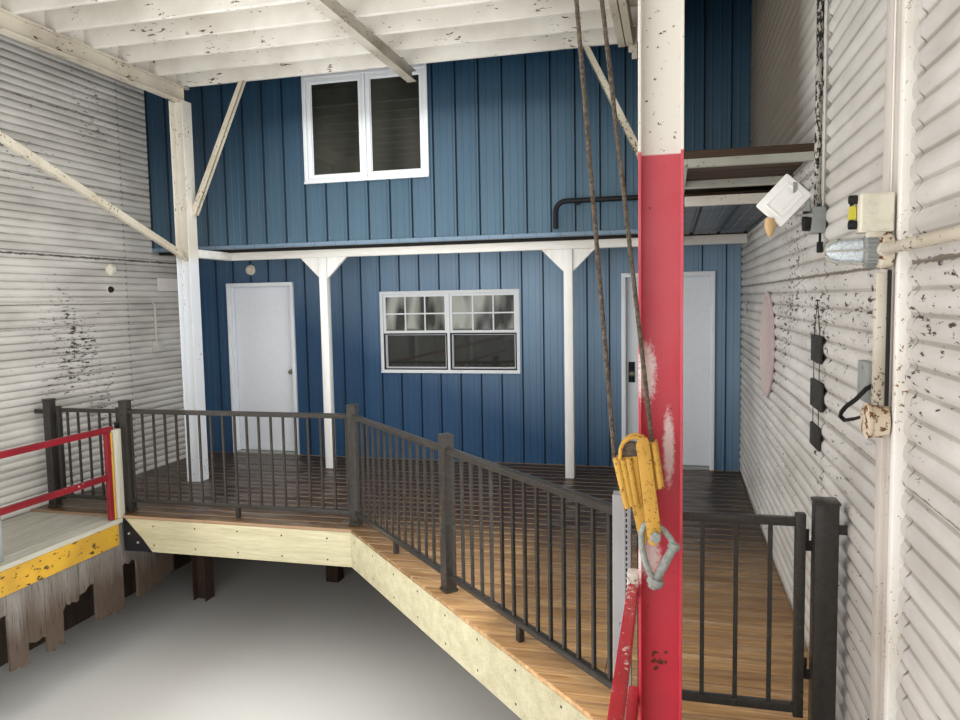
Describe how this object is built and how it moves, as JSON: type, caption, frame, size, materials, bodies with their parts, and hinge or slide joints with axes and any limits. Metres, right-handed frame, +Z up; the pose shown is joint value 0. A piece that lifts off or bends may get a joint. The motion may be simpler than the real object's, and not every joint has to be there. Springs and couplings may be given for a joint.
{
  "type": "boathouse",
  "caption": "Boathouse with a boat slip between walkways, a railed deck with gates, and a two-storey cabin with doors and windows under one gable roof.",
  "frame": {"origin": "middle of the building's footprint, roof included, at the water level", "axes": "+Z up, +Y from the open front towards the cabin, +X to the right seen from the open front"},
  "size_m": [7.1, 17.85, 7.132],
  "materials": {
    "old_timber": "weathered bare timber",
    "white_sheet": "white paint peeling from corrugated steel sheet",
    "blue_sheet": "satin blue ribbed steel cladding",
    "roof_sheet": "weathered galvanised corrugated roofing",
    "white_steel": "white gloss paint on rolled steel, rust at the edges",
    "red_white_steel": "red and white gloss paint on rolled steel",
    "cream_steel": "aged cream paint, stained",
    "white_timber": "white painted sawn timber",
    "grey_boards": "worn grey painted boards",
    "yellow_timber": "worn yellow paint on timber",
    "stained_deck": "brown stained deck boards, semi-gloss",
    "new_pine": "bare treated pine",
    "black_steel": "black paint",
    "floor_boards": "plain floor boards",
    "white_vinyl": "white extruded window section",
    "window_glass": "clear float glass",
    "white_door": "white painted steel door",
    "bronze_aluminium": "dark bronze powder coat",
    "red_steel": "red paint on steel bar",
    "galvanised_steel": "dull galvanised",
    "rusty_cable": "rusty wire rope",
    "yellow_steel": "chipped yellow paint",
    "fitting_plastic": "white moulded housing",
    "grey_conduit": "painted conduit and boxes"
  },
  "bodies": {
    "boathouse": {"bulkhead": "old_timber", "left_wall": "white_sheet", "right_wall": "white_sheet", "wall_columns": "white_sheet", "left_cabin_wall": "white_sheet", "right_cabin_wall": "white_sheet", "back_wall": "blue_sheet", "front_gable": "white_sheet", "upper_front_wall": "blue_sheet", "front_wall_left": "blue_sheet", "front_wall_middle": "blue_sheet", "front_wall_right": "blue_sheet", "front_wall_head": "blue_sheet", "roof_left": "roof_sheet", "roof_right": "roof_sheet", "ridge_cap": "roof_sheet", "steel_posts": "white_steel", "red_post": "red_white_steel", "side_beams": "white_steel", "middle_beam": "cream_steel", "lift_beam": "cream_steel", "loft_joists": "white_timber", "loft_boards": "white_timber", "braces": "cream_steel", "walkways": "grey_boards", "edge_beams": "yellow_timber", "edge_planks": "old_timber", "deck": "stained_deck", "deck_frame": "new_pine", "corner_plate": "black_steel", "porch_header": "white_timber", "porch_posts": "white_timber", "lower_floor": "floor_boards", "upper_floor": "floor_boards", "lower_windows": "white_vinyl", "upper_windows": "white_vinyl", "lower_glass": "window_glass", "upper_glass": "window_glass", "left_door_frame": "white_door", "right_door_frame": "white_door", "front_railing": "bronze_aluminium", "diagonal_railing": "bronze_aluminium", "railing_posts": "bronze_aluminium", "red_rails": "red_steel", "rail_posts": "white_timber", "balcony_floor": "grey_boards", "balcony_frame": "galvanised_steel", "balcony_soffit": "blue_sheet", "pipe_rail": "black_steel", "lift_cables": "rusty_cable", "sheave_block": "yellow_steel", "shackle": "galvanised_steel", "wall_lights": "fitting_plastic", "wall_conduits": "grey_conduit"},
    "left_door_leaf": {"left_door": "white_door"},
    "right_door_leaf": {"right_door": "white_door"},
    "left_gate_leaf": {"left_gate": "bronze_aluminium"},
    "right_gate_leaf": {"right_gate": "bronze_aluminium"}
  },
  "joints": [
    {"name": "left_door_hinge", "type": "hinge", "parent": "boathouse", "child": "left_door_leaf", "pos_m": [-2.72, 4.943, 2.3], "axis": [0, 0, 1], "range_deg": [0, 100]},
    {"name": "right_door_hinge", "type": "hinge", "parent": "boathouse", "child": "right_door_leaf", "pos_m": [2.8755, 4.943, 2.3], "axis": [0, 0, -1], "range_deg": [0, 100]},
    {"name": "left_gate_hinge", "type": "hinge", "parent": "boathouse", "child": "left_gate_leaf", "pos_m": [-2.9595, 2.341, 1.8], "axis": [0, 0, 1], "range_deg": [0, 95]},
    {"name": "right_gate_hinge", "type": "hinge", "parent": "boathouse", "child": "right_gate_leaf", "pos_m": [3.023, -0.0225, 1.8], "axis": [0, 0, -1], "range_deg": [0, 95]}
  ]
}
